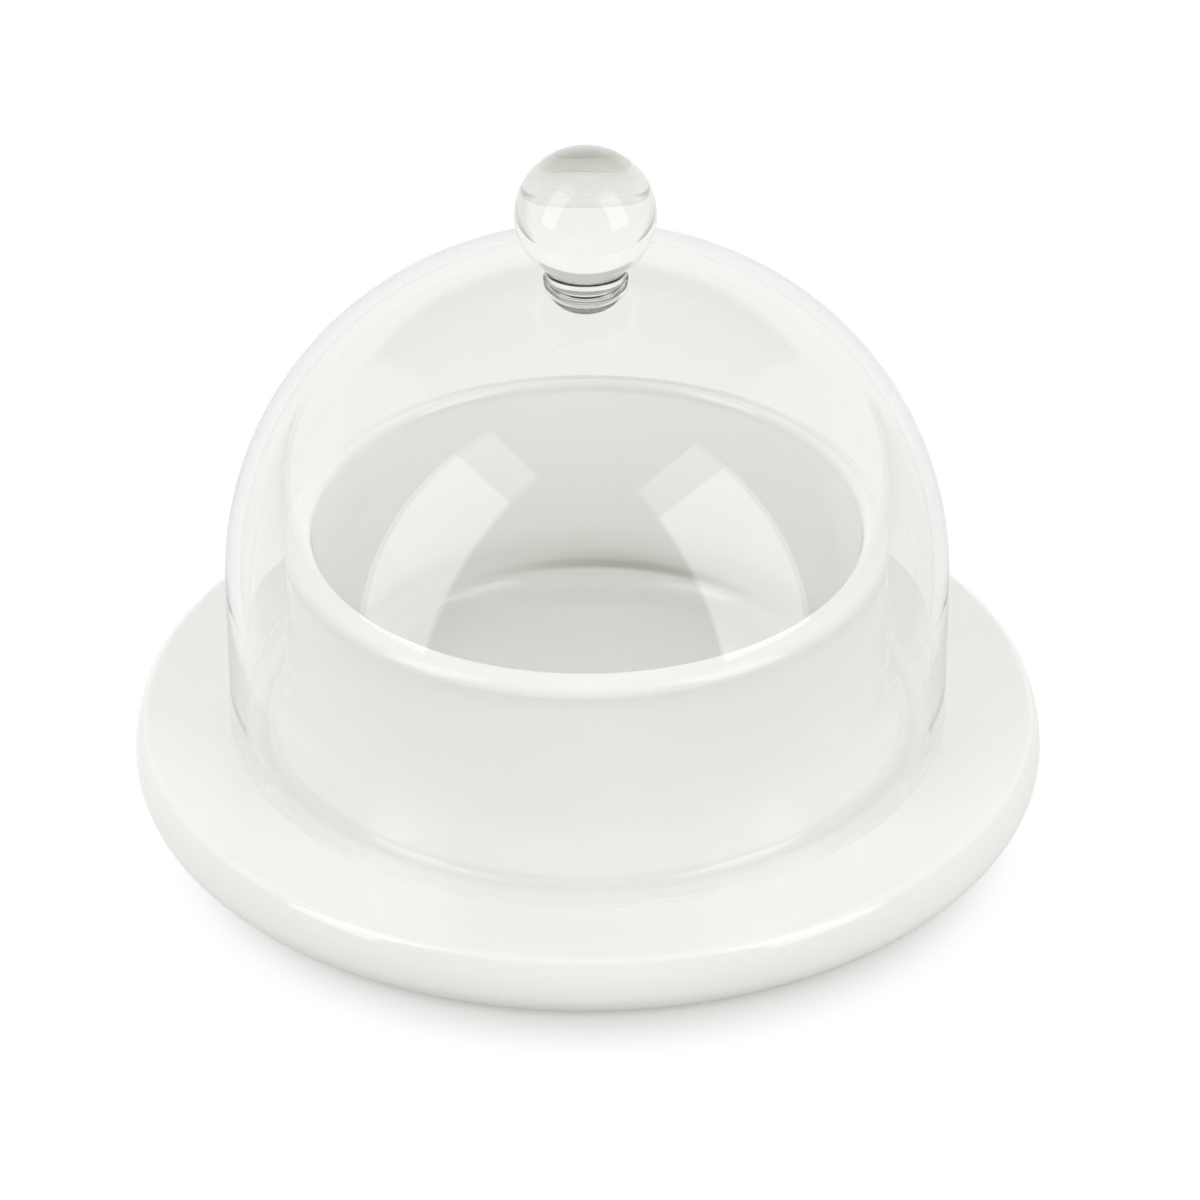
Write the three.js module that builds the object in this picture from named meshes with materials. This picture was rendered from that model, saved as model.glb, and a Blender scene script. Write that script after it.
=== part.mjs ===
// Covered butter dish. A thick porcelain plate carries a round bowl in its middle, cast with it in
// one piece. A clear glass dome with a ball knob stands on the plate around the bowl.
// Millimetres, +Z up, with the origin on the table at the middle of the plate.

import * as THREE from 'three';

const { degToRad } = THREE.MathUtils;

// Bowl
const bowlMouthRadius = 47.8;   // inside of the wall where the lip begins
const bowlHeight = 37.85;       // from the plate's top to the crest of the lip
const bowlWall = 4.8;           // thickness at the lip
const lipInnerReach = 1.4;      // from the inside of the wall to the lip's crest
const lipInnerDrop = 1.6;       // height of the tight round on the inside of the crest
const lipOuterDrop = 2.4;       // height of the wide round from the crest to the outside
const lipUnderTurn = degToRad(8);  // how far that round carries on under its widest line
const lipCoveRadius = 15;       // soft hollow below the lip, back into the wall
const bowlInnerDraft = 3;       // how much narrower the inside is at its foot than at the lip
const bowlOuterDraft = 0.6;     // how much wider the outside is above its flare than at the lip
const bowlFloorDrop = 3;        // how far the bowl's floor lies below the plate's top
const bowlFloorFillet = 4;      // round between the inner wall and the floor
const flareRadius = 36;         // long hollow curve by which the outer wall spreads to its foot
const flareAngle = degToRad(20);  // lean of the wall where that curve ends
const flareFillet = 2;          // small round from there into the plate

// Plate
const discThickness = 5.3;      // even thickness of the plate and of the bowl's floor
const underReliefDepth = 6.1;   // hollow under the plate, so that it stands on its rim alone
const underStepFillet = 3;      // round where the bowl's underside meets the ceiling of the hollow
const ledgeWidth = 16.9;        // from the outside of the dome to the edge of the plate
const rimEdgeRound = 1.8;       // round between the plate's top and the face of its rim
const rimLean = degToRad(22);   // lean of the face where that round ends
const rimFaceRadius = 15;       // gentle swell of the face, from there down to its widest line
const rimUnderReach = 4;        // how far the rim draws in from that line to its foot
const footWidth = 2.8;          // unglazed ring that stands on the table
const footFillet = 1.2;         // round on the inside of that ring
const reliefFillet = 3;         // round where the hollow's side meets its ceiling
const reliefDraft = 1.5;        // how much narrower the hollow is at its ceiling than at its mouth

// Glass dome
const glassWall = 2.6;
const coverClearance = 3.2;     // between the bowl's flare and the inside of the glass
const seatClearance = 0.3;      // between the plate's top and the foot of the glass
const domeWallHeight = 26.9;    // straight part of the wall, from the foot of the glass
const shoulderRadius = 58.5;    // outer arc from the wall towards the crown
const crownRadius = 72;         // flatter outer arc over the middle
const footFlare = 0.3;          // how far the foot spreads outwards
const footFlareHeight = 4;      // where that spread begins, above the foot
const footEdgeRound = 0.7;      // fire-polished round on both edges of the foot
const plugRadius = 6.2;         // round plug of glass inside the crown, under the knob
const plugDrop = 4.9;           // how far it hangs below the inner face of the crown
const plugRound = 3.7;          // height of its rounded end
const plugFillet = 0.8;         // round where it meets the crown

// Knob
const ballRadius = 12;          // half the width of the ball
const ballHalfHeight = 11.6;    // the ball is slightly squashed, as it was pressed on while hot
const ballRise = 11.5;          // from the crown to the middle of the ball
const neckRadius = 7.05;
const neckHollow = 0.2;         // how far the neck draws in at its middle
const sealClearance = 0.3;      // between the crown and the foot of the neck

// Facets around the axis, and the turn of the profile from one facet to the next
const dishSteps = 60;
const domeSteps = 60;
const knobSteps = 40;
const tinyArcStep = degToRad(30);
const smallArcStep = degToRad(18);
const plugArcStep = degToRad(15);
const ballArcStep = degToRad(12);
const largeArcStep = degToRad(7);
const samePoint = 1e-6;         // points closer than this are one point

// Radii and heights that follow from the sizes above
const bowlOuterRadius = bowlMouthRadius + bowlWall;
const flareTopRadius = bowlOuterRadius + bowlOuterDraft;
const flareEndRadius = flareTopRadius + flareRadius * (1 - Math.cos(flareAngle));
const flareFootRadius = flareEndRadius + flareFillet * Math.cos(flareAngle);
const domeInnerRadius = flareFootRadius + coverClearance;
const domeOuterRadius = domeInnerRadius + glassWall;
const plateRadius = domeOuterRadius + ledgeWidth;
const seatHeight = underReliefDepth + discThickness;
const bowlFloorHeight = seatHeight - bowlFloorDrop;
const rimWidestHeight = seatHeight - rimEdgeRound - (rimFaceRadius - rimEdgeRound) * Math.sin(rimLean);

const inwards = Math.PI;
const upwards = Math.PI / 2;
const downwards = -upwards;

const at = (radius, height) => new THREE.Vector2(radius, height);

// Points along an elliptical arc, from one angle to the other, both ends included
function arc(centreR, centreZ, reachR, reachZ, from, to, step = smallArcStep) {
  const count = Math.max(2, Math.ceil(Math.abs(to - from) / step));
  const curve = new THREE.EllipseCurve(centreR, centreZ, reachR, reachZ, from, to, to < from);
  return curve.getPoints(count);
}

// The same along a circular arc
function round(centreR, centreZ, radius, from, to, step) {
  return arc(centreR, centreZ, radius, radius, from, to, step);
}

// Joins stretches of a profile. A point that repeats the one before it is dropped, and both ends
// are put exactly on the axis.
function outline(...stretches) {
  const points = [];
  for (const point of stretches.flat()) {
    const last = points.at(-1);
    if (last && last.distanceTo(point) < samePoint) continue;
    points.push(point);
  }
  for (const end of [points[0], points.at(-1)]) end.x = 0;
  return points;
}

// Turns a profile, given as radius and height, about the vertical axis
function turned(name, profile, steps, material) {
  const geometry = new THREE.LatheGeometry(profile, steps);
  geometry.rotateX(upwards);
  const mesh = new THREE.Mesh(geometry, material);
  mesh.name = name;
  return mesh;
}

// The dish's section runs along its underside, round the rim, over the plate and the bowl's lip,
// and down to the middle of the bowl's floor. The underside follows the bowl's floor at an even
// thickness and steps up from it to the hollow under the plate.
function dishProfile() {
  const floorRoundRadius = bowlMouthRadius - bowlInnerDraft - bowlFloorFillet;
  const floorRoundHeight = bowlFloorHeight + bowlFloorFillet;
  const underRound = bowlFloorFillet + discThickness;
  const underStep = underRound + underStepFillet;
  const underTurn = Math.acos(1 - bowlFloorDrop / underStep);
  const underStepEnd = floorRoundRadius + underStep * Math.sin(underTurn);

  const footOuter = plateRadius - rimUnderReach;
  const footInner = footOuter - footWidth;
  const reliefTop = footInner - footFillet - reliefDraft;
  const underside = [
    at(0, bowlFloorHeight - discThickness),
    ...round(floorRoundRadius, floorRoundHeight, underRound,
      downwards, downwards + underTurn, largeArcStep),
    ...round(underStepEnd, underReliefDepth - underStepFillet, underStepFillet,
      upwards + underTurn, upwards),
    ...round(reliefTop - reliefFillet, underReliefDepth - reliefFillet, reliefFillet, upwards, 0),
    ...round(footInner, footFillet, footFillet, inwards, inwards + upwards, tinyArcStep),
  ];
  const rimFaceCentre = plateRadius - rimFaceRadius;
  const rimEdgeCentre = rimFaceCentre + (rimFaceRadius - rimEdgeRound) * Math.cos(rimLean);
  const rim = [
    ...arc(footOuter, rimWidestHeight, rimUnderReach, rimWidestHeight, downwards, 0),
    ...round(rimFaceCentre, rimWidestHeight, rimFaceRadius, 0, rimLean, largeArcStep),
    ...round(rimEdgeCentre, seatHeight - rimEdgeRound, rimEdgeRound, rimLean, upwards),
  ];

  const flareEnd = inwards + flareAngle;
  const flareEndHeight = seatHeight + flareFillet * (1 - Math.sin(flareAngle));
  const flareTopHeight = flareEndHeight + flareRadius * Math.sin(flareAngle);
  const flare = [
    ...round(flareFootRadius, seatHeight + flareFillet, flareFillet, inwards + upwards, flareEnd),
    ...round(flareTopRadius + flareRadius, flareTopHeight, flareRadius, flareEnd, inwards, largeArcStep),
  ];

  const lipCrestRadius = bowlMouthRadius + lipInnerReach;
  const lipCrestHeight = seatHeight + bowlHeight;
  const lipOuterReach = bowlWall - lipInnerReach;
  const lipWidestHeight = lipCrestHeight - lipOuterDrop;
  const coveTurn = Math.atan(Math.tan(lipUnderTurn) * lipOuterReach / lipOuterDrop);
  const coveTopRadius = lipCrestRadius + lipOuterReach * Math.cos(lipUnderTurn);
  const coveTopHeight = lipWidestHeight - lipOuterDrop * Math.sin(lipUnderTurn);
  const lip = [
    ...round(coveTopRadius + lipCoveRadius * Math.cos(coveTurn),
      coveTopHeight - lipCoveRadius * Math.sin(coveTurn), lipCoveRadius, inwards, inwards - coveTurn),
    ...arc(lipCrestRadius, lipWidestHeight, lipOuterReach, lipOuterDrop, -lipUnderTurn, upwards),
    ...arc(lipCrestRadius, lipCrestHeight - lipInnerDrop, lipInnerReach, lipInnerDrop,
      upwards, inwards, tinyArcStep),
  ];
  const floorRound = round(floorRoundRadius, floorRoundHeight, bowlFloorFillet, 0, downwards);
  return outline(underside, rim, flare, lip, floorRound, [at(0, bowlFloorHeight)]);
}

// Middle of the crown's arc above the foot of the glass: it touches the shoulder's arc inside
const shoulderCentreRadius = domeOuterRadius - shoulderRadius;
const crownCentreHeight = domeWallHeight
  - Math.sqrt((crownRadius - shoulderRadius) ** 2 - shoulderCentreRadius ** 2);
const crownTop = crownCentreHeight + crownRadius;
const shoulderEnd = Math.atan2(domeWallHeight - crownCentreHeight, shoulderCentreRadius);

// The dome's section runs from the plug under its crown down the inner face, round the foot, and up
// the outer face to the crown. Inner and outer arcs share their centres.
function domeProfile() {
  const innerCrown = crownRadius - glassWall;
  const innerShoulder = shoulderRadius - glassWall;
  const plugEndHeight = crownTop - glassWall - plugDrop + plugRound;
  const plugRootRadius = plugRadius + plugFillet;
  const plugRootEdge = Math.acos(plugRootRadius / (innerCrown - plugFillet));
  const plugRootHeight = crownCentreHeight + (innerCrown - plugFillet) * Math.sin(plugRootEdge);
  const plug = [
    ...arc(0, plugEndHeight, plugRadius, plugRound, downwards, 0, plugArcStep),
    ...round(plugRootRadius, plugRootHeight, plugFillet, inwards, plugRootEdge, tinyArcStep),
  ];

  const inner = [
    ...round(0, crownCentreHeight, innerCrown, plugRootEdge, shoulderEnd, largeArcStep),
    ...round(shoulderCentreRadius, domeWallHeight, innerShoulder, shoulderEnd, 0, largeArcStep),
  ];
  const footInside = domeInnerRadius + footEdgeRound;
  const footOutside = domeOuterRadius + footFlare - footEdgeRound;
  const foot = [
    ...round(footInside, footEdgeRound, footEdgeRound, inwards, inwards + upwards, tinyArcStep),
    ...round(footOutside, footEdgeRound, footEdgeRound, downwards, 0, tinyArcStep),
    at(domeOuterRadius, footFlareHeight),
  ];
  const outer = [
    ...round(shoulderCentreRadius, domeWallHeight, shoulderRadius, 0, shoulderEnd, largeArcStep),
    ...round(0, crownCentreHeight, crownRadius, shoulderEnd, upwards, largeArcStep),
  ];
  return outline(plug, inner, foot, outer);
}

// The knob's section starts under its neck, which follows the crown, and ends on top of the ball.
// Its heights are above the top of the crown.
function knobProfile() {
  const crownArc = crownRadius + sealClearance;
  const neckFootEdge = Math.acos(neckRadius / crownArc);
  const seat = round(0, -crownRadius, crownArc, upwards, neckFootEdge);

  const neckFootHeight = crownArc * Math.sin(neckFootEdge) - crownRadius;
  const ballEdge = -Math.acos(neckRadius / ballRadius);
  const neckTopHeight = ballRise + ballHalfHeight * Math.sin(ballEdge);
  const neckHalf = (neckTopHeight - neckFootHeight) / 2;
  const neck = arc(neckRadius, neckFootHeight + neckHalf, neckHollow, neckHalf, inwards + upwards, upwards);
  const ball = arc(0, ballRise, ballRadius, ballHalfHeight, ballEdge, upwards, ballArcStep);
  return outline(seat, neck, ball);
}

const porcelain = new THREE.MeshStandardMaterial({ color: 0xf1f2ec, roughness: 0.12, metalness: 0 });
const glass = new THREE.MeshStandardMaterial({
  color: 0xf3f7f4, roughness: 0.02, metalness: 0, transparent: true, opacity: 0.25,
});

const dish = turned('porcelain_dish', dishProfile(), dishSteps, porcelain);
const dome = turned('glass_dome', domeProfile(), domeSteps, glass);
const knob = turned('ball_knob', knobProfile(), knobSteps, glass);
knob.position.z = crownTop;

const cover = new THREE.Group();
cover.position.z = seatHeight + seatClearance;
cover.add(dome, knob);

const butterDish = new THREE.Group();
butterDish.add(dish, cover);

export default butterDish;
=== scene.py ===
"""Covered butter dish: a white porcelain plate with its bowl, under a clear glass dome with a ball knob.

Profiles are drawn as radius and height, in millimetres and degrees. Everything else is in metres.
"""
from math import acos, atan2, ceil, cos, degrees, hypot, pi, radians, sin, sqrt, tan
from typing import NamedTuple

import bpy
from mathutils import Matrix, Vector


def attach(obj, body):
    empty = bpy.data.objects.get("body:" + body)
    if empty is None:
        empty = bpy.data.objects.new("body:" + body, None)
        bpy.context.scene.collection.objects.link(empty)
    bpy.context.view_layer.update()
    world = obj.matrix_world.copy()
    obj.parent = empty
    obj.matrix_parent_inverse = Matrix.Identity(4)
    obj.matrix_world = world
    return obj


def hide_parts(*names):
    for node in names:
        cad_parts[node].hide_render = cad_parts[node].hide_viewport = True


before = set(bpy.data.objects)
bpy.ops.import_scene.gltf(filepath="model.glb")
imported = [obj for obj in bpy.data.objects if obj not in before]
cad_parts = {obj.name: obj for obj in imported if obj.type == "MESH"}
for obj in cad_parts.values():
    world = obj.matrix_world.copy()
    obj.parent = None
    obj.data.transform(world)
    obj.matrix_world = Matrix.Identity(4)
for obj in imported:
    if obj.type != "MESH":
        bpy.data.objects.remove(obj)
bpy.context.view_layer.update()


class GlazeAndShade(NamedTuple):
    """Depth of glaze around a ring, from 0, bare, to 1: in front, at the back, and how narrow the back is.

    A back deeper than the front is painted shade. In glass it is the depth of its colour, whose deepest
    values are painted shade and a painted dark edge.
    """
    front: float
    back: float
    narrow: float = 1.0

    def at(self, angle):
        """Depth at an angle about the axis, in radians."""
        share = max(0.0, sin(angle + SHADE_TURN)) ** self.narrow
        return self.front + (self.back - self.front) * share


def even(depth):
    """The same depth all round."""
    return GlazeAndShade(depth, depth)


MM = 0.001

# Mesh
AROUND = 256  # points in a ring
ARC_PIECES = 3  # fewest pieces in an arc
SAME_POINT = 1e-4  # points closer than this are one
LONG_RUN = 2.4  # a longer straight run is divided
RUN_STEP = 6  # longest piece of a divided run
RUN_END = 0.25  # how close to its ends a divided run has a point

# Plate
PLATE_R = 79.95
PLATE_TOP = 11.4
BODY = 5.3  # thickness of the plate and of the bowl's floor
RIM_EDGE = 1.8  # round along the top edge
RIM_FACE = 15.0  # round of the face under it
RIM_LEAN = 22.0  # degrees through which that face turns inwards
RIM_UNDER = 4.0  # from the foot ring out to the widest point
FOOT_IN = 73.15  # inner edge of the ring that stands on the table
FOOT_ROUND = 1.2
HOLLOW_R = 70.45  # outer wall of the hollow inside the foot ring
HOLLOW_TOP = PLATE_TOP - BODY
HOLLOW_ROUND = 3.0
STEP_ROUND = 3.0  # where the bowl's underside meets the hollow's top

# Bowl
FLOOR = 8.4
FLOOR_ROUND = 4.0  # fillet between the floor and the inner wall
INNER_FOOT = 44.8  # radius of the inner wall at the top of that fillet
MOUTH_R = 47.8
WALL = 4.8  # thickness of the lip
LIP_TOP = 49.25
LIP_IN = 1.4  # from the mouth out to the lip's crest
LIP_IN_DROP = 1.6
LIP_OUT_DROP = 2.4
LIP_UNDER = 8.0  # degrees by which the lip rolls under
LIP_COVE = 15.0  # round of the cove under the lip
FLARE_TOP_R = 53.2
FLARE_R = 36.0  # round of the flare between the plate and the bowl
FLARE_ANGLE = 20.0  # degrees through which it turns
FLARE_ROUND = 2.0  # tighter round at its foot

# Cover
COVER_SUNK = 0.05  # the foot of the glass goes this far into the plate, so that no air shows under it
COVER_FOOT = PLATE_TOP - COVER_SUNK
DOME_R = 63.05
GLASS = 2.6  # thickness
FOOT_EDGE = 0.15  # round of the foot's edges
FOOT_FLARE = 0.3
FOOT_FLARE_TOP = 15.7
FOOT_FLARE_PIECES = 8
SPRING = 38.6  # height at which the straight wall turns into the shoulder
SHOULDER = 58.5  # outer radius of the shoulder's round
CROWN = 72.0  # outer radius of the crown's round
SHOULDER_R = DOME_R - SHOULDER  # where the shoulder's centre is
CROWN_Z = SPRING - sqrt((CROWN - SHOULDER) ** 2 - SHOULDER_R ** 2)  # where the crown's centre is
CROWN_EDGE = degrees(atan2(SPRING - CROWN_Z, SHOULDER_R))  # angle at which crown and shoulder meet
APEX = CROWN_Z + CROWN

# Drop of glass inside the crown, and knob on top of it
PLUG_R = 6.2
PLUG_DROP = 4.9
PLUG_ROUND = 3.7
PLUG_FILLET = 0.8
NECK_R = 7.05
NECK_HOLLOW = 0.2
NECK_OFF = 15.0  # degrees left off each end of the neck's hollow
NECK_FOOT = 0.3  # from the neck out to where the crown ends
BALL_R = 12.0
BALL_HALF = 11.6  # half its height
BALL_RISE = 11.5  # its middle above the crown

# Depths on the dish, some of them painted shade
SHADE_TURN = 0.17  # radians by which the darkest place of the painted shade is turned from straight behind
EVEN = even(0.5)
BARE = even(0.0)
HOLLOW_GLAZE = even(0.75)
# Painted shade: the rim's top edge is a little darker than the plate
RIM_EDGE_SHADE = even(0.56)
FLARE_GLAZE = even(0.62)
FLARE_GLAZE_END = 1.5  # from the flare's foot out to where the glaze is even
LIP_GLAZE = even(0.45)
# Thin glaze on the lip in front; the back of its crest and mouth is painted darker as shade
CREST_GLAZE_AND_SHADE = GlazeAndShade(front=0.45, back=0.8, narrow=1.3)
MOUTH_GLAZE_AND_SHADE = GlazeAndShade(front=0.4, back=0.73, narrow=1.3)
WALL_TOP_GLAZE = even(0.53)
WALL_TOP_DROP = 1.0  # below the lip's round
WALL_GLAZES_AND_SHADE = {  # by height above the fillet; the dark band low down is glaze pooling with painted shade of the corner, deepest at the back
    8.0: EVEN,
    3.0: even(0.7),
    0.9: GlazeAndShade(front=0.6, back=0.84, narrow=7.0),
}
# Glaze pooling in the corner, with painted shade that is deepest at the back
POOL_AND_SHADE_GLAZE = GlazeAndShade(front=0.6, back=1.0, narrow=7.0)
FILLET_GLAZE = even(0.66)
MIDDLE_GLAZE = even(0.74)

# Depths in the glass, the deepest of them painted shade and a painted dark edge
CLEAR = even(0.5)
# Painted dark edge round the foot of the drop, in place of the dark line that refraction gives
PLUG_PAINTED_EDGE = even(0.75)
# Painted shade in the ball, from its foot to its darkest at its top
BALL_FOOT_SHADE = 0.52
BALL_TOP_SHADE = 0.7

# Degrees of an arc between which its depth changes
FOOT_FADE = (225, 240)
RIM_FADE = (-68, -64)
LIP_FADE = (38, 45)
POOL_AND_SHADE_FADE = (-12, -24)
PLUG_TIP_FADE = (-60, -52)
PLUG_SIDE_FADE = (-10, -4)

# Table
TABLE_HALF = 4.0
SHADOW_WHITE = 0.4  # share of white that still shows inside the shadow's ovals
SHEET_MIDDLE = -0.04  # the sheet that gloss and glass see on the table
SHEET_SPREAD = 0.7  # how fast it widens towards the back

# Room, where 1 is white
AMBIENT = 0.668
AMBIENT_BEHIND = 0.03  # more from behind
AMBIENT_RIGHT = -0.04  # less from the right
PAPER_FRONT = 0.75  # low down, as gloss and glass see it
PAPER_BEHIND = 1.0
CEILING = 0.88  # high up, as gloss and glass see it
CEILING_GAP = 0.58  # behind, between the softboxes
LAMP_AWAY = 1.4

# Camera
SENSOR = 36.0  # millimetres
LENS = 185.25  # millimetres
CLIP_START = 0.05
CLIP_END = 20
VIEW_AIM = (0.0022, 0, 0.03246)
VIEW_AWAY = 1.08
VIEW_TILT = 32.5  # degrees above the table
VIEW_ROLL = -0.215  # degrees

# Places of a Mix node's colour sockets, which share their names with its other sockets
MIX_A, MIX_B, MIX_RESULT = 6, 7, 2


def point(r, z, glaze_and_shade):
    """A point of a profile: its radius, its height and the values of its glaze and painted shade."""
    return (max(r, 0.0), z, *glaze_and_shade)


def apart(a, b):
    """Distance between two points of a profile."""
    return hypot(b[0] - a[0], b[1] - a[1])


def arc(centre, reach, *stretches, step):
    """Points along a round, or along an oval where reach is a pair, about step degrees apart.

    A stretch is its first and last angle and its glaze and painted shade.
    """
    reach_r, reach_z = reach if isinstance(reach, tuple) else (reach, reach)
    points = []
    for start, end, glaze_and_shade in stretches:
        count = max(ARC_PIECES, ceil(abs(end - start) / step))
        for i in range(count + 1):
            t = radians(start + (end - start) * (i / count))
            points.append(point(centre[0] + reach_r * cos(t), centre[1] + reach_z * sin(t), glaze_and_shade))
    return points


def graded(points, first, last):
    """The same points with a depth that goes from first to last along them."""
    count = len(points) - 1
    return [point(p[0], p[1], even(first + (last - first) * (i / count))) for i, p in enumerate(points)]


def joined(*stretches):
    """One profile from several stretches, without double points.

    A long straight run is divided, with a point close to each end, so that flats shade flat.
    """
    raw = []
    for p in (p for stretch in stretches for p in stretch):
        if not raw or apart(raw[-1], p) > SAME_POINT:
            raw.append(p)
    out = raw[:1]
    for a, b in zip(raw, raw[1:]):
        run = apart(a, b)
        if run > LONG_RUN:
            count = ceil(run / RUN_STEP)
            shares = [RUN_END / run, *(i / count for i in range(1, count)), 1 - RUN_END / run]
            out += [tuple(p + (q - p) * share for p, q in zip(a, b)) for share in shares]
        out.append(b)
    return out


def placed(name, data):
    """New object in the scene."""
    made = bpy.data.objects.new(name, data)
    bpy.context.scene.collection.objects.link(made)
    return made


def turned(name, profile, body, nodes, material):
    """Smooth closed piece turned about the vertical axis from a profile that starts and ends on it."""
    verts, depths, faces = [], [], []
    for _, z, *glaze_and_shade in (profile[0], profile[-1]):
        verts.append((0.0, 0.0, z * MM))
        depths.append(GlazeAndShade(*glaze_and_shade).front)
    rings = profile[1:-1]
    for r, z, *glaze_and_shade in rings:
        for k in range(AROUND):
            t = 2 * pi * k / AROUND
            verts.append((r * MM * cos(t), r * MM * sin(t), z * MM))
            depths.append(GlazeAndShade(*glaze_and_shade).at(t))
    first = 2
    last = first + (len(rings) - 1) * AROUND
    for k in range(AROUND):
        n = (k + 1) % AROUND
        faces.append((0, first + n, first + k))
        faces.append((1, last + k, last + n))
        for low in range(first, last, AROUND):
            high = low + AROUND
            faces.append((low + k, low + n, high + n, high + k))
    mesh = bpy.data.meshes.new(name)
    mesh.from_pydata(verts, [], faces)
    mesh.attributes.new("glaze_and_shade", "FLOAT", "POINT").data.foreach_set("value", depths)
    mesh.shade_smooth()
    mesh.materials.append(material)
    piece = placed(name, mesh)
    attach(piece, body)
    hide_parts(*nodes)


def underside():
    """From the middle out under the bowl, through the hollow and onto the foot ring."""
    centre_r = INNER_FOOT - FLOOR_ROUND
    bowl_round = FLOOR_ROUND + BODY
    turn = degrees(acos(1 - (PLATE_TOP - FLOOR) / (bowl_round + STEP_ROUND)))
    step_r = centre_r + (bowl_round + STEP_ROUND) * sin(radians(turn))
    hollow = (HOLLOW_R - HOLLOW_ROUND, HOLLOW_TOP - HOLLOW_ROUND)
    ring_inside = (180, FOOT_FADE[0], EVEN)
    ring_flat = (FOOT_FADE[1], 270, BARE)
    return [
        point(0, FLOOR - BODY, EVEN),
        *arc((centre_r, FLOOR + FLOOR_ROUND), bowl_round, (-90, turn - 90, EVEN), step=4),
        *arc((step_r, HOLLOW_TOP - STEP_ROUND), STEP_ROUND, (90 + turn, 90, HOLLOW_GLAZE), step=6),
        *arc(hollow, HOLLOW_ROUND, (90, 0, HOLLOW_GLAZE), step=8),
        *arc((FOOT_IN, FOOT_ROUND), FOOT_ROUND, ring_inside, ring_flat, step=8),
    ]


def rim():
    """From the foot ring out to the widest point, up the leaning face and round the top edge."""
    lean = radians(RIM_LEAN)
    widest_z = PLATE_TOP - RIM_EDGE - (RIM_FACE - RIM_EDGE) * sin(lean)
    under = (PLATE_R - RIM_UNDER, widest_z)
    under_reach = (RIM_UNDER, widest_z)
    face_r = PLATE_R - RIM_FACE
    edge = (face_r + (RIM_FACE - RIM_EDGE) * cos(lean), PLATE_TOP - RIM_EDGE)
    return [
        *arc(under, under_reach, (-90, RIM_FADE[0], BARE), step=6),
        *arc(under, under_reach, (RIM_FADE[1], 0, EVEN), step=4),
        *arc((face_r, widest_z), RIM_FACE, (0, RIM_LEAN, EVEN), step=2),
        # The top edge's round is painted a little darker as shade
        *arc(edge, RIM_EDGE, (RIM_LEAN, 90, RIM_EDGE_SHADE), step=5),
    ]


def flare():
    """In along the plate's top and up the hollow flare to the bowl's outer wall."""
    angle = radians(FLARE_ANGLE)
    foot_r = FLARE_TOP_R + FLARE_R * (1 - cos(angle)) + FLARE_ROUND * cos(angle)
    top_z = PLATE_TOP + FLARE_ROUND * (1 - sin(angle)) + FLARE_R * sin(angle)
    meet = 180 + FLARE_ANGLE
    return [
        point(foot_r + FLARE_GLAZE_END, PLATE_TOP, EVEN),
        *arc((foot_r, PLATE_TOP + FLARE_ROUND), FLARE_ROUND, (270, meet, FLARE_GLAZE), step=5),
        *arc((FLARE_TOP_R + FLARE_R, top_z), FLARE_R, (meet, 180, EVEN), step=1),
    ]


def lip():
    """Out along the cove under the lip, over the lip's crest and in to the mouth."""
    crest_r = MOUTH_R + LIP_IN
    reach = WALL - LIP_IN
    outer_z = LIP_TOP - LIP_OUT_DROP
    under = radians(LIP_UNDER)
    turn = degrees(atan2(tan(under) * reach, LIP_OUT_DROP))
    cove_r = crest_r + reach * cos(under) + LIP_COVE * cos(radians(turn))
    cove_z = outer_z - LIP_OUT_DROP * sin(under) - LIP_COVE * sin(radians(turn))
    # The back of the crest and of the mouth is painted darker as shade
    outer = (-LIP_UNDER, LIP_FADE[0], LIP_GLAZE)
    crest = (LIP_FADE[1], 90, CREST_GLAZE_AND_SHADE)
    return [
        *arc((cove_r, cove_z), LIP_COVE, (180, 180 - turn, EVEN), step=2),
        *arc((crest_r, outer_z), (reach, LIP_OUT_DROP), outer, crest, step=5),
        *arc((crest_r, LIP_TOP - LIP_IN_DROP), (LIP_IN, LIP_IN_DROP), (90, 180, MOUTH_GLAZE_AND_SHADE), step=6),
    ]


def bowl_inside():
    """Down the inner wall, round the fillet and in to the middle of the floor."""
    foot_z = FLOOR + FLOOR_ROUND
    height = LIP_TOP - LIP_IN_DROP - foot_z
    slant = (MOUTH_R - INNER_FOOT) / height
    glazes_and_shade = {height - WALL_TOP_DROP: WALL_TOP_GLAZE, **WALL_GLAZES_AND_SHADE}
    # Glaze pools in the corner, and painted shade darkens it most at the back
    pool_and_shade = (0, POOL_AND_SHADE_FADE[0], POOL_AND_SHADE_GLAZE)
    fillet = (POOL_AND_SHADE_FADE[1], -90, FILLET_GLAZE)
    return [
        *(point(INNER_FOOT + slant * up, foot_z + up, glaze_and_shade) for up, glaze_and_shade in glazes_and_shade.items()),
        *arc((INNER_FOOT - FLOOR_ROUND, foot_z), FLOOR_ROUND, pool_and_shade, fillet, step=4),
        point(0, FLOOR, MIDDLE_GLAZE),
    ]


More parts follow.
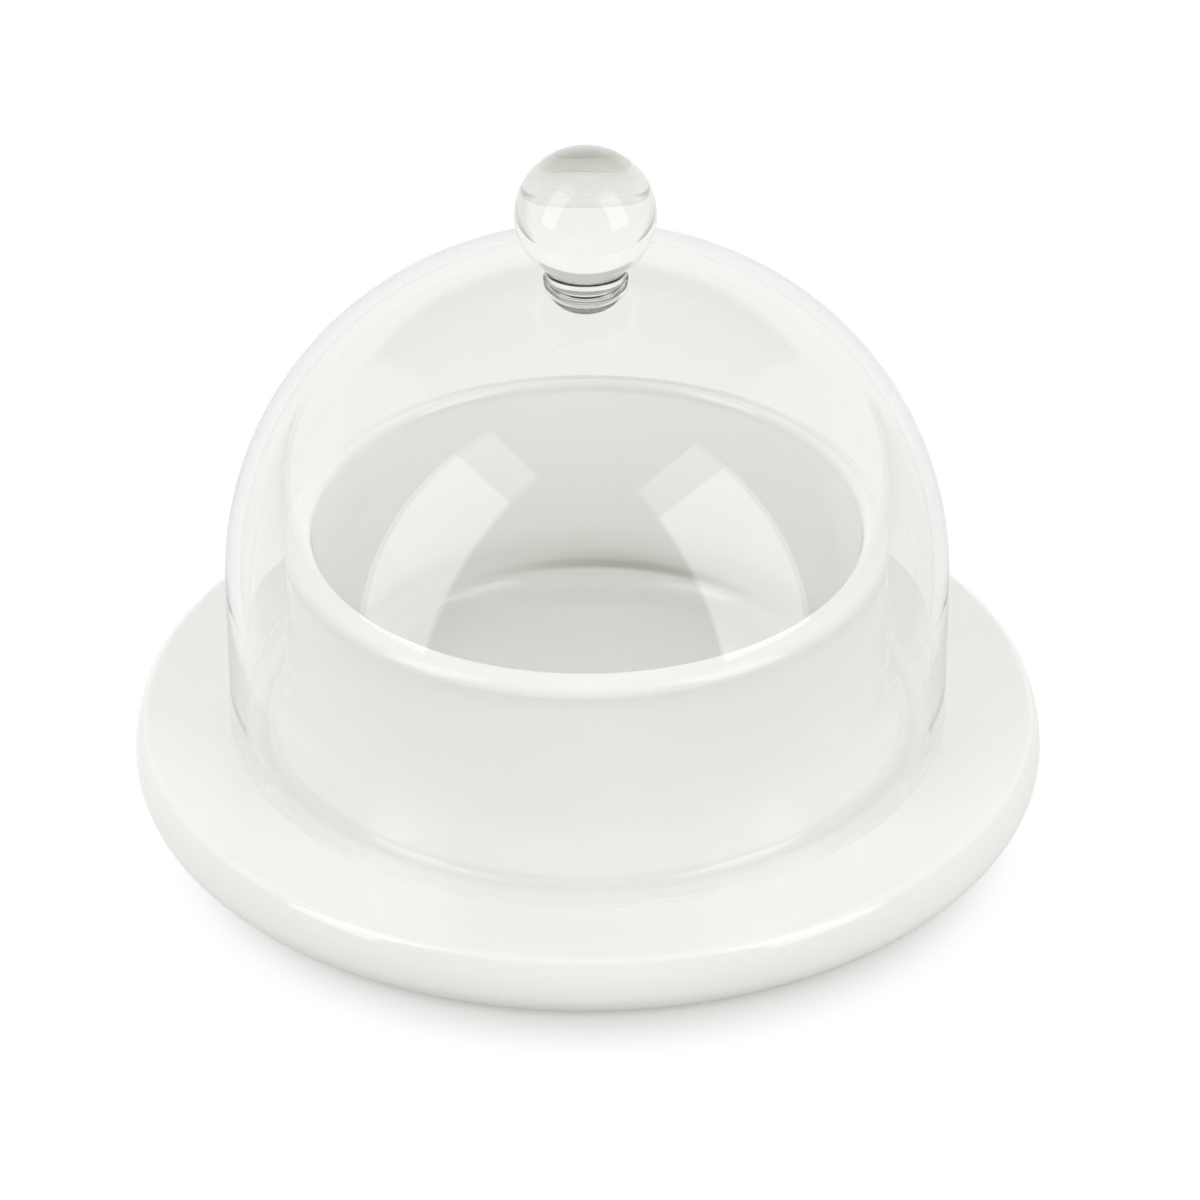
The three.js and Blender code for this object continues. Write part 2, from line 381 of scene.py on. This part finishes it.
def dome_inside():
    """Round the drop of glass inside the crown and down the inner face. The drop's lower edge is painted
    dark.
    """
    plug = (0, APEX - GLASS - PLUG_DROP + PLUG_ROUND)
    tip = (-90, PLUG_TIP_FADE[0], CLEAR)
    edge = (PLUG_TIP_FADE[1], PLUG_SIDE_FADE[0], PLUG_PAINTED_EDGE)
    side = (PLUG_SIDE_FADE[1], 0, CLEAR)
    crown = CROWN - GLASS
    root_r = PLUG_R + PLUG_FILLET
    root_edge = degrees(acos(root_r / (crown - PLUG_FILLET)))
    root_z = CROWN_Z + (crown - PLUG_FILLET) * sin(radians(root_edge))
    return [
        *arc(plug, (PLUG_R, PLUG_ROUND), tip, edge, side, step=4),
        *arc((root_r, root_z), PLUG_FILLET, (180, root_edge, CLEAR), step=12),
        *arc((0, CROWN_Z), crown, (root_edge, CROWN_EDGE, CLEAR), step=0.8),
        *arc((SHOULDER_R, SPRING), SHOULDER - GLASS, (CROWN_EDGE, 0, CLEAR), step=0.9),
    ]


def cover_foot():
    """Round the foot of the glass and up its faint flare."""
    edge_z = COVER_FOOT + FOOT_EDGE
    rise = FOOT_FLARE_TOP - edge_z
    shares = [i / FOOT_FLARE_PIECES for i in range(FOOT_FLARE_PIECES + 1)]
    return [
        *arc((DOME_R - GLASS + FOOT_EDGE, edge_z), FOOT_EDGE, (180, 270, CLEAR), step=9),
        *arc((DOME_R + FOOT_FLARE - FOOT_EDGE, edge_z), FOOT_EDGE, (270, 360, CLEAR), step=9),
        *(point(DOME_R + FOOT_FLARE * (1 + cos(pi * t)) / 2, edge_z + rise * t, CLEAR) for t in shares),
    ]


def dome_outside():
    """Up the outer face to the foot of the neck."""
    neck_edge = degrees(acos((NECK_R + NECK_FOOT) / CROWN))
    return [
        *arc((SHOULDER_R, SPRING), SHOULDER, (0, CROWN_EDGE, CLEAR), step=0.9),
        *arc((0, CROWN_Z), CROWN, (CROWN_EDGE, neck_edge, CLEAR), step=0.8),
    ]


def knob():
    """Up the hollow neck and over the ball, whose glass is painted darker towards its top as shade."""
    ball_z = APEX + BALL_RISE
    ball_edge = -degrees(acos(NECK_R / BALL_R))
    neck_top = ball_z + BALL_HALF * sin(radians(ball_edge))
    neck_foot = CROWN_Z + sqrt(CROWN ** 2 - NECK_R ** 2)
    half = (neck_top - neck_foot) / 2
    hollow = (270 - NECK_OFF, 90 + NECK_OFF, CLEAR)
    ball = arc((0, ball_z), (BALL_R, BALL_HALF), (ball_edge, 90, CLEAR), step=2)
    return [
        *arc((NECK_R, neck_foot + half), (NECK_HOLLOW, half), hollow, step=12),
        *graded(ball, BALL_FOOT_SHADE, BALL_TOP_SHADE),
    ]


def fill(tree, target, inputs):
    """Sets inputs of a shader node to values, or links them to the outputs of other nodes."""
    for key, value in inputs.items():
        if isinstance(value, bpy.types.NodeSocket):
            tree.links.new(value, target.inputs[key])
        else:
            target.inputs[key].default_value = value


def node(tree, kind, inputs=None, **settings):
    """One shader node with its settings and inputs."""
    made = tree.nodes.new(kind)
    for key, value in settings.items():
        setattr(made, key, value)
    fill(tree, made, inputs or {})
    return made


def maths(tree, operation, *values):
    """Result of an operation on outputs or numbers."""
    return node(tree, "ShaderNodeMath", dict(enumerate(values)), operation=operation).outputs[0]


def ranged(tree, value, start=0.0, end=1.0, low=0.0, high=1.0, interpolation="SMOOTHSTEP"):
    """Goes from low to high while the value goes from start to end."""
    inputs = {"Value": value, "From Min": start, "From Max": end, "To Min": low, "To Max": high}
    return node(tree, "ShaderNodeMapRange", inputs, interpolation_type=interpolation).outputs[0]


def mixed(tree, share, a, b):
    """Goes from a to b with the share."""
    return node(tree, "ShaderNodeMix", {"Factor": share, "A": a, "B": b}, data_type="FLOAT").outputs[0]


def ramp(tree, value, stops):
    """Colour by value, from positions and their colours."""
    made = node(tree, "ShaderNodeValToRGB", {"Fac": value})
    elements = made.color_ramp.elements
    while len(elements) < len(stops):
        elements.new(0.5)
    for element, (position, colour) in zip(elements, stops.items()):
        element.position = position
        element.color = (*colour, 1)
    return made.outputs["Color"]


def grey(level):
    """Colour with the same red, green and blue."""
    return (level, level, level)


def noise(tree, place, scale, detail, roughness):
    """Soft noise over the surface."""
    inputs = {"Vector": place, "Scale": scale, "Detail": detail, "Roughness": roughness}
    return node(tree, "ShaderNodeTexNoise", inputs).outputs["Fac"]


def bump(tree, height, strength, distance, under=None):
    """Normal bumped by a height, on top of another bump where one is given."""
    inputs = {"Height": height, "Strength": strength, "Distance": distance}
    if under is not None:
        inputs["Normal"] = under
    return node(tree, "ShaderNodeBump", inputs).outputs["Normal"]


def seen(tree, *rays):
    """1 for a ray of one of these kinds, such as Is Camera Ray, and 0 for others."""
    path = node(tree, "ShaderNodeLightPath").outputs
    value = path[rays[0]]
    for ray in rays[1:]:
        value = maths(tree, "MAXIMUM", value, path[ray])
    return value


def principled(name):
    """New material, its node tree and its shader."""
    material = bpy.data.materials.new(name)
    material.use_nodes = True
    tree = material.node_tree
    return material, tree, tree.nodes["Principled BSDF"]


def swapped(tree, shader, other, share):
    """Shows the other shader in place of the first by this share."""
    mix = node(tree, "ShaderNodeMixShader", {"Fac": share, 1: shader.outputs[0], 2: other.outputs[0]})
    fill(tree, tree.nodes["Material Output"], {"Surface": mix.outputs[0]})


def porcelain():
    """White porcelain: glaze gathers cool in hollows, thins over the lip and is left off the foot ring.
    Painted shade darkens the rim's top edge, the back of the lip and the bowl's corner.
    """
    material, tree, shader = principled("glazed_porcelain")
    place = node(tree, "ShaderNodeTexCoord").outputs["Object"]
    glaze_and_shade = node(tree, "ShaderNodeAttribute", attribute_name="glaze_and_shade").outputs["Fac"]

    # Colour by depth of glaze, which also gives the painted shade its darker colours
    body = ramp(tree, glaze_and_shade, {
        0.0: (0.80, 0.77, 0.70),
        0.4: (0.95, 0.947, 0.925),
        0.5: (0.9, 0.898, 0.876),
        0.7: (0.81, 0.816, 0.785),
        1.0: (0.48, 0.505, 0.445),
    })
    cloud = noise(tree, place, scale=28.0, detail=3.0, roughness=0.5)
    drift = ramp(tree, cloud, {0.3: grey(0.975), 0.7: grey(1.0)})
    colours = {"Factor": 1.0, MIX_A: body, MIX_B: drift}
    tint = node(tree, "ShaderNodeMix", colours, data_type="RGBA", blend_type="MULTIPLY")
    gloss = ramp(tree, glaze_and_shade, {0.0: grey(0.72), 0.22: grey(0.6), 0.3: grey(0.08), 1.0: grey(0.06)})

    peel = noise(tree, place, scale=260.0, detail=2.0, roughness=0.45)
    sway = noise(tree, place, scale=45.0, detail=1.0, roughness=0.4)
    fine = bump(tree, peel, strength=0.35, distance=0.00003)
    fill(tree, shader, {
        "Base Color": tint.outputs[MIX_RESULT],
        "Roughness": gloss,
        "IOR": 1.6,
        "Normal": bump(tree, sway, strength=0.5, distance=0.00012, under=fine),
    })
    return material


def glass():
    """Clear glass with the faint sway of a blown wall. Lamplight and scattered light pass through it. Its
    colour is painted darker as shade at the top of the ball and as a dark edge round the drop in the
    crown.
    """
    material, tree, shader = principled("clear_glass")
    place = node(tree, "ShaderNodeTexCoord").outputs["Object"]
    depth = node(tree, "ShaderNodeAttribute", attribute_name="glaze_and_shade").outputs["Fac"]
    sway = noise(tree, place, scale=22.0, detail=1.5, roughness=0.35)
    # Colour by depth: clear, then painted shade in the ball and a painted dark edge on the drop
    fill(tree, shader, {
        "Base Color": ramp(tree, depth, {
            0.5: (0.963, 0.964, 0.949),
            0.6: (0.92, 0.925, 0.895),
            0.7: (0.68, 0.685, 0.65),
            0.75: (0.2, 0.2, 0.19),
        }),
        "Transmission Weight": 1.0,
        "Roughness": 0.0,
        "IOR": 1.5,
        "Normal": bump(tree, sway, strength=0.1, distance=0.0002),
    })
    clear = node(tree, "ShaderNodeBsdfTransparent", {"Color": (0.986, 0.986, 0.984, 1)})
    swapped(tree, shader, clear, seen(tree, "Is Shadow Ray", "Is Diffuse Ray"))
    return material


def past_oval(tree, place, across, middle, start, end):
    """How white the table shows inside and outside an oval, which is round where across is 1."""
    oval = node(tree, "ShaderNodeVectorMath", {0: place, 1: (across, 1.0, 1.0)}, operation="MULTIPLY")
    reach = node(tree, "ShaderNodeVectorMath", {0: oval.outputs[0], 1: middle}, operation="DISTANCE")
    return ranged(tree, reach.outputs["Value"], start, end, low=SHADOW_WHITE)


def table_white():
    """Pale table top. It keeps the shadow close to the plate, and further out it shows plain white.

    Gloss and glass see a white sheet on it, which is dimmer at its sides, and a dark table past its edge.
    """
    material, tree, shader = principled("white_table")
    fill(tree, shader, {"Base Color": (0.49, 0.5, 0.455, 1), "Roughness": 0.9})
    place = node(tree, "ShaderNodeTexCoord").outputs["Object"]
    front = past_oval(tree, place, across=0.88, middle=(0.001, -0.025, 0.0), start=0.0505, end=0.066)
    behind = past_oval(tree, place, across=1.05, middle=(0.0, 0.016, 0.0), start=0.066, end=0.08)
    far = maths(tree, "MINIMUM", front, behind)

    x, y, _ = node(tree, "ShaderNodeSeparateXYZ", {0: place}).outputs
    aside = maths(tree, "ABSOLUTE", maths(tree, "SUBTRACT", x, SHEET_MIDDLE))
    spread = maths(tree, "MAXIMUM", maths(tree, "MULTIPLY", y, SHEET_SPREAD), 0.0)
    past = maths(tree, "SUBTRACT", aside, spread)
    sheet = ranged(tree, past, start=0.05, end=0.2, low=0.95, high=0.6)
    dark = ranged(tree, past, start=0.3, end=0.34, low=1.0, high=0.25, interpolation="LINEAR")
    reflected = seen(tree, "Is Transmission Ray", "Is Glossy Ray")
    mirrored = maths(tree, "MULTIPLY", reflected, maths(tree, "MULTIPLY", sheet, dark))
    shown = maths(tree, "MULTIPLY", far, maths(tree, "MAXIMUM", seen(tree, "Is Camera Ray"), mirrored))
    swapped(tree, shader, node(tree, "ShaderNodeEmission", {"Strength": 1.0}), shown)
    return material


def floor():
    """The table that the dish stands on."""
    corners = [(x * TABLE_HALF, y * TABLE_HALF, 0) for x, y in ((-1, -1), (1, -1), (1, 1), (-1, 1))]
    mesh = bpy.data.meshes.new("table")
    mesh.from_pydata(corners, [], [(0, 1, 2, 3)])
    mesh.materials.append(table_white())
    table = placed("table", mesh)


def room():
    """Nearly even light from all round. Gloss and glass see paper low down and a ceiling above it."""
    world = bpy.data.worlds.new("studio")
    bpy.context.scene.world = world
    world.use_nodes = True
    tree = world.node_tree
    direction = node(tree, "ShaderNodeTexCoord").outputs["Generated"]
    x, y, z = node(tree, "ShaderNodeSeparateXYZ", {0: direction}).outputs

    paper = ranged(tree, y, start=-0.5, end=0.5, low=PAPER_FRONT, high=PAPER_BEHIND)
    between = ranged(tree, maths(tree, "ABSOLUTE", x), start=0.57, end=0.63, low=1.0, high=0.0)
    gap = maths(tree, "MULTIPLY", between, ranged(tree, y, start=-0.2, end=0.6))
    ceiling = ranged(tree, gap, low=CEILING, high=CEILING_GAP, interpolation="LINEAR")
    mirrored = mixed(tree, ranged(tree, z, start=0.31, end=0.36), paper, ceiling)

    lean = maths(tree, "MULTIPLY_ADD", y, AMBIENT_BEHIND, AMBIENT)
    ambient = maths(tree, "MULTIPLY_ADD", x, AMBIENT_RIGHT, lean)
    light = mixed(tree, seen(tree, "Is Glossy Ray", "Is Transmission Ray"), ambient, mirrored)
    level = mixed(tree, seen(tree, "Is Camera Ray"), light, 1.0)
    fill(tree, tree.nodes["Background"], {"Color": (1, 1, 1, 1), "Strength": level})


def lamp(name, azimuth, tilt, width, low, high, power, mirrored=True):
    """Flat lamp that faces the dish from a direction in degrees.

    Its width and its lower and upper edge are those that it would have one metre away.
    """
    a, t = radians(azimuth), radians(tilt)
    towards = Vector((sin(a) * cos(t), cos(a) * cos(t), sin(t)))
    upward = Vector((-sin(a) * sin(t), -cos(a) * sin(t), cos(t)))
    across = upward.cross(towards)
    middle = (towards + upward * (low + high) / 2) * LAMP_AWAY
    light = bpy.data.lights.new(name, "AREA")
    light.shape = "RECTANGLE"
    light.size = width * LAMP_AWAY
    light.size_y = (high - low) * LAMP_AWAY
    light.energy = power
    facing = Matrix((across, upward, towards)).transposed().to_4x4()
    box = placed(name, light)
    box.matrix_world = Matrix.Translation(middle) @ facing
    box.visible_camera = False
    box.visible_glossy = mirrored
    box.visible_transmission = mirrored


def lamps():
    """A tall softbox on each side, fainter at its top, and a panel high behind that gloss doesn't show."""
    left = {"azimuth": -119.0, "tilt": 30.0, "width": 0.47}
    right = {"azimuth": 124.0, "tilt": 22.0, "width": 0.56}
    lamp("softbox_left", **left, low=-0.55, high=0.5, power=6.1)
    lamp("softbox_left_top", **left, low=0.5, high=0.78, power=0.75)
    lamp("softbox_right", **right, low=-0.38, high=0.6, power=7.0)
    lamp("softbox_right_top", **right, low=0.6, high=0.88, power=0.95)
    lamp("panel", azimuth=0.0, tilt=47.0, width=1.0, low=-0.32, high=0.32, power=4.2, mirrored=False)


def camera():
    """The photograph's view: from the front and above, through a long lens."""
    lens = bpy.data.cameras.new("camera")
    lens.sensor_width = SENSOR
    lens.lens = LENS
    lens.clip_start = CLIP_START
    lens.clip_end = CLIP_END
    tilt = radians(VIEW_TILT)
    right = Vector((1, 0, 0))
    back = Vector((0, -cos(tilt), sin(tilt)))
    facing = Matrix((right, back.cross(right), back)).transposed().to_4x4()
    roll = Matrix.Rotation(radians(VIEW_ROLL), 4, "Z")
    view = placed("camera", lens)
    view.matrix_world = Matrix.Translation(Vector(VIEW_AIM) + back * VIEW_AWAY) @ (facing @ roll)
    bpy.context.scene.camera = view


dish_profile = joined(underside(), rim(), flare(), lip(), bowl_inside())
cover_profile = joined(dome_inside(), cover_foot(), dome_outside(), knob())
turned("dish", dish_profile, "dish", ["porcelain_dish"], porcelain())
turned("cover", cover_profile, "cover", ["glass_dome", "ball_knob"], glass())
floor()
room()
lamps()
camera()
bpy.context.scene.view_settings.view_transform = "Standard"
